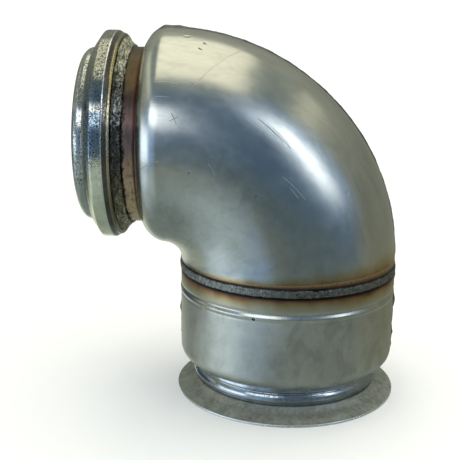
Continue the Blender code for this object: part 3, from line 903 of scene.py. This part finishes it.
def build_inlet():
    """The clamp flange: a round nose, a sloping groove, a flat crest and a stepped back."""
    nose_end = leg(INLET_REACH - NOSE_LENGTH)
    crest_edge = leg(CREST_EDGE)
    back = leg(FLANGE_BACK)
    # The crest's back edge: a painted warm gold reflection, by height
    painted_gold_reflection = [(0.22, 0.20, 0.13), (0.26, 0.22, 0.12), (0.50, 0.42, 0.27), (0.80, 0.72, 0.52),
            (0.72, 0.58, 0.27), (0.34, 0.29, 0.18)]
    # Bands of colour: a dark grey band on the slope behind the nose, a painted highlight on the crest's
    # front edge, a painted dark reflection on the crest, the painted gold reflection on its back edge and
    # painted shade at the back step
    bands = [
        (leg(INLET_REACH - 10.5), nose_end, [(0.25, 0.25, 0.20)]),
        (crest_edge - 0.15, crest_edge + 0.45, [(0.80, 0.81, 0.79)]),
        (back + 1.5, crest_edge - 0.15, [(0.14, 0.128, 0.108)]),
        (back + 0.3, back + 1.5, painted_gold_reflection),
        (back - 0.5, back + 0.3, [(0.10, 0.09, 0.07)]),
    ]
    # Painted reflections and shade by height: cream low down, blue across the middle with a painted white
    # patch, greyer on top
    painted_light = [
        (0.0, (1.90, 1.80, 1.50)), (0.45, (1.75, 1.68, 1.44)),
        (0.49, (0.80, 0.86, 0.92)), (0.52, (0.52, 0.63, 0.78)),
        (0.68, (0.48, 0.59, 0.74)), (0.695, (1.35, 1.28, 1.22)),
        (0.72, (1.35, 1.28, 1.22)), (0.735, (0.40, 0.50, 0.62)),
        (0.815, (0.42, 0.52, 0.64)), (0.84, (0.76, 0.74, 0.68)),
        (1.0, (0.85, 0.83, 0.77)),
    ]
    # The nose multiplies in its own painted greys, brighter low down and on top
    bright = turned_steel("collar_turned_steel", (0.55, 0.57, 0.55), (0.44, 0.45, 0.41), (0.07, 0.16),
                          0.95, bands, painted_light, (nose_end, (1.16, 1.14, 1.02, 0.98, 0.96, 1.00, 1.14)))
    nose = arc(leg(INLET_REACH - NOSE_ROUND), NOSE_RADIUS - NOSE_ROUND, NOSE_ROUND, 0, 90, 12)
    outline = dense(rounded([(*point, 0.05) for point in nose] + [
        (nose_end, NOSE_RADIUS, 0.15), (nose_end - 0.3, NOSE_RADIUS + 1.3, 0.3),
        (nose_end - 2.5, NOSE_RADIUS + 5.0, 2.0), (leg(CREST_FRONT + 1.2), CREST_RADIUS - 0.9, 0.3),
        (leg(CREST_FRONT + 0.6), CREST_RADIUS - 0.1, 0.4), (leg(CREST_FRONT - 0.8), CREST_RADIUS, 0.4),
        (crest_edge + 0.5, CREST_RADIUS, 0.25), (crest_edge - 0.1, CREST_RADIUS - 0.25, 0.25),
        (back + 2.0, CREST_RADIUS - 1.7, 0.25), (back + 1.3, CREST_RADIUS - 1.55, 0.4),
        (back + 0.5, CREST_RADIUS - 2.1, 0.4), (back, WELD_FOOT_RADIUS, 0.2),
        (back, LINER_RADIUS - SHEET, 0.2), (leg(INLET_REACH - 10.0), INLET_BORE + 1.2, 3.0),
        (leg(INLET_REACH), INLET_BORE, 0.4),
    ], 0.3), 1.0)
    turned("inlet_collar", outline, 288, "inlet_flange", bright)


def build_mats():
    """The mats keep their CAD solids and get a fibre material."""
    mat = fibre()
    for name in ("insulation_front_half", "insulation_back_half"):
        NODES[name].data.materials.clear()
        NODES[name].data.materials.append(mat)


# Studio

# Panels of light and shade seen in the steel: azimuths, elevations, softness, colour. Azimuth is
# zero towards the front and grows to the right.
PANELS = [
    ((-54, 82), (-12, 58), 12, (0.100, 0.168, 0.260)),
    ((-30, 58), (-17, 2), 6, (0.125, 0.175, 0.195)),
    ((-104, -22), (-56, -16), 14, (0.50, 0.61, 0.63)),
    ((-92, -59), (-37, -23), 8, (0.92, 1.10, 1.22)),
    ((-64, -16), (-22, 30), 9, (0.32, 0.50, 0.78)),
    ((-84, -46), (-16.5, 10), 5, (1.75, 2.05, 2.3)),
    ((-142, -97), (-18, 5), 5, (0.060, 0.100, 0.160)),
    ((-168, -102), (-42, -21), 6, (0.42, 0.46, 0.38)),
    ((-174, -140), (-36, -14), 6, (0.78, 0.84, 0.72)),
    ((-106, -93), (7, 17), 3, (0.75, 0.85, 0.85)),
    ((-44, -1), (16, 38), 6, (0.55, 0.68, 0.88)),
    ((-46, -7), (17.5, 37), 3, (2.5, 2.7, 2.8)),
]
# Leaning panels: azimuths from LEAN_START, less LEAN per degree of elevation
LEAN = 0.42
LEAN_START = 12.6
LEANING = [
    ((38, 82), (9, 54), 9, (0.42, 0.57, 0.78)),
    ((40, 56), (33, 47), 5, (1.15, 1.35, 1.6)),
    ((49, 66), (16, 44), 4.5, (2.8, 3.05, 3.3)),
]
# Panels overhead, by the direction's x / z and y / z
CEILING = [
    ((-1.30, -0.86), (-0.60, 0.90), 0.10, (0.85, 0.88, 0.70)),
    ((0.90, 1.30), (-0.20, 1.00), 0.08, (0.80, 0.81, 0.64)),
    ((-0.36, 0.43), (-0.34, 1.02), 0.05, (1.58, 1.53, 1.22)),
]

# The floor's flat radius, its curve's radius and the wall's top, in metres
FLOOR_FLAT = 2.4
FLOOR_CURVE = 0.8
WALL_TOP = 3.0

# The camera, in degrees and metres
CAMERA_AZIMUTH = 4.44
CAMERA_ELEVATION = 15.01
CAMERA_ROLL = 0.5
CAMERA_TARGET = (-0.013645, 0.0, 0.09768)
CAMERA_DISTANCE = 0.61994
CAMERA_LENS = 81.1
CAMERA_SHIFT = (0.0209, -0.0070)


class Sky(Paint):
    """The world's nodes, by the same helpers."""

    def __init__(self):
        self.world = bpy.data.worlds.new("studio")
        self.world.use_nodes = True
        self.tree = self.world.node_tree
        self.tree.nodes.clear()

    def window(self, one, two, one_range, two_range, soft):
        """A soft-edged panel: 1 where both values are within their ranges."""
        share = None
        for value, (low, high) in ((one, one_range), (two, two_range)):
            for edge in (self.remap(value, low - soft, low + soft),
                         self.remap(value, high - soft, high + soft, 1.0, 0.0)):
                share = edge if share is None else self.product(share, edge)
        return share


def build_world():
    """The soft grey-green room that the steel mirrors."""
    sky = Sky()
    direction = sky.node("ShaderNodeTexCoord", {}).outputs["Generated"]
    x, y, z = sky.node("ShaderNodeSeparateXYZ", {0: direction}).outputs
    elevation = sky.math("DEGREES", sky.math("ARCSINE", z))
    azimuth = sky.math("DEGREES", sky.math("ARCTAN2", x, sky.product(y, -1.0)))
    colour = sky.ramp(sky.remap(elevation, -90.0, 90.0, soft=False), [
        (0.00, (0.25, 0.30, 0.28)), (0.17, (0.25, 0.31, 0.29)),
        (0.31, (0.29, 0.34, 0.31)), (0.39, (0.29, 0.29, 0.20)),
        (0.45, (0.25, 0.26, 0.20)), (0.56, (0.26, 0.28, 0.23)),
        (0.67, (0.40, 0.42, 0.35)), (0.72, (0.40, 0.42, 0.35)),
        (0.79, (0.26, 0.32, 0.30)), (1.00, (0.26, 0.32, 0.30)),
    ])
    leaning = sky.math("MULTIPLY_ADD", elevation, LEAN, sky.math("SUBTRACT", azimuth, LEAN_START))
    for value, panels in ((azimuth, PANELS), (leaning, LEANING)):
        for az_range, el_range, soft, light in panels:
            colour = sky.mix(sky.window(value, elevation, az_range, el_range, soft), colour, light)
    above = sky.math("MAXIMUM", z, 0.2)
    over_x = sky.math("DIVIDE", x, above)
    over_y = sky.math("DIVIDE", y, above)
    upper = sky.remap(z, 0.3, 0.45)
    for x_range, y_range, soft, light in CEILING:
        share = sky.product(sky.window(over_x, over_y, x_range, y_range, soft), upper)
        colour = sky.mix(share, colour, light)
    background = sky.node("ShaderNodeBackground", {"Color": colour, "Strength": 1.0})
    sky.node("ShaderNodeOutputWorld", {"Surface": background.outputs[0]})
    bpy.context.scene.world = sky.world


def build_floor():
    """A round pale floor that curves up into a wall, seen by the camera and not by the steel."""
    rows = [(0.02, 0.0), (0.3, 0.0), (1.0, 0.0), (FLOOR_FLAT, 0.0)]
    rows += [(FLOOR_FLAT + FLOOR_CURVE * math.sin(a), FLOOR_CURVE - FLOOR_CURVE * math.cos(a))
             for a in np.linspace(0.1, math.pi / 2, 12)]
    rows += [(FLOOR_FLAT + FLOOR_CURVE, WALL_TOP)]
    steps = 96
    turns = [2 * math.pi * i / steps for i in range(steps)]
    made = bmesh.new()
    rings = [[made.verts.new((r * math.cos(a), r * math.sin(a), z)) for a in turns] for r, z in rows]
    made.faces.new(rings[0])
    for one, two in zip(rings, rings[1:]):
        for i in range(steps):
            k = (i + 1) % steps
            made.faces.new((one[i], one[k], two[k], two[i]))
    bmesh.ops.recalc_face_normals(made, faces=made.faces)
    floor = add_object("studio_floor", made)
    floor.data.shade_smooth()
    material = bpy.data.materials.new("studio_paper")
    material.use_nodes = True
    shader = material.node_tree.nodes["Principled BSDF"]
    shader.inputs["Base Color"].default_value = (0.92, 0.92, 0.92, 1.0)
    shader.inputs["Roughness"].default_value = 0.9
    shader.inputs["Specular IOR Level"].default_value = 0.2
    floor.data.materials.append(material)
    floor.visible_glossy = False
    floor.visible_shadow = False


def build_softbox():
    """The one lamp, straight above and not mirrored in the steel."""
    data = bpy.data.lights.new("floor_softbox", "AREA")
    data.size = 6.0
    data.energy = 62.0
    data.color = (1.0, 0.985, 1.0)
    lamp = bpy.data.objects.new("floor_softbox", data)
    lamp.location = (0.0, 0.0, 2.6)
    lamp.visible_glossy = False
    bpy.context.scene.collection.objects.link(lamp)


def build_camera():
    angles = (CAMERA_AZIMUTH, CAMERA_ELEVATION, CAMERA_ROLL)
    azimuth, elevation, roll = (math.radians(angle) for angle in angles)
    back = Vector((math.sin(azimuth) * math.cos(elevation), -math.cos(azimuth) * math.cos(elevation),
                   math.sin(elevation)))
    flat_right = Vector((math.cos(azimuth), math.sin(azimuth), 0.0))
    flat_up = back.cross(flat_right)
    right = math.cos(roll) * flat_right + math.sin(roll) * flat_up
    up = math.cos(roll) * flat_up - math.sin(roll) * flat_right
    data = bpy.data.cameras.new("camera")
    data.sensor_width = 36.0
    data.lens = CAMERA_LENS
    data.shift_x, data.shift_y = CAMERA_SHIFT
    data.clip_start = 0.01
    camera = bpy.data.objects.new("camera", data)
    bpy.context.scene.collection.objects.link(camera)
    matrix = Matrix((right, up, back)).transposed().to_4x4()
    matrix.translation = Vector(CAMERA_TARGET) + back * CAMERA_DISTANCE
    camera.matrix_world = matrix
    bpy.context.scene.camera = camera


build_casing()
build_welds()
build_liner()
build_outlet()
build_inlet()
build_mats()
bpy.context.scene.view_settings.view_transform = "Standard"
build_world()
build_floor()
build_softbox()
build_camera()
